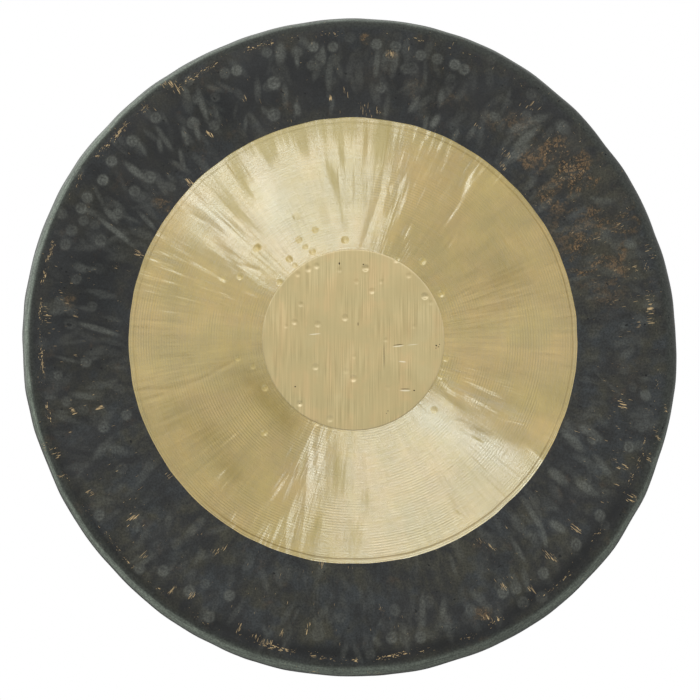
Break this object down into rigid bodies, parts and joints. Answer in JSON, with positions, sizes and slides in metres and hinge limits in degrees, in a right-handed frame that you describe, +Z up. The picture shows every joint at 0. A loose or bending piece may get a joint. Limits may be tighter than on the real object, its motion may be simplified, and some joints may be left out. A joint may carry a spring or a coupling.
{
  "type": "hung bronze gong",
  "caption": "Round hammered bronze gong with a turned-back rim, a turned bright ring, a black outer zone and hanging holes in the rim.",
  "frame": {"origin": "midway between the two hanging holes in the rim, at the top", "axes": "+Z up, -Y out of the striking face, +X to the right as the face is seen; the disc lies in the XZ plane and its rim runs back along +Y"},
  "size_m": [0.7063, 0.0531, 0.7146],
  "materials": {
    "hammered_bronze": "hammered bell bronze: fine turned grooves on the ring, straight scraper lines in the centre, matt black fire scale on the outer zone, rim and back, with chips to bare metal"
  },
  "bodies": {
    "root": {"gong_disc": "hammered_bronze"}
  },
  "joints": []
}
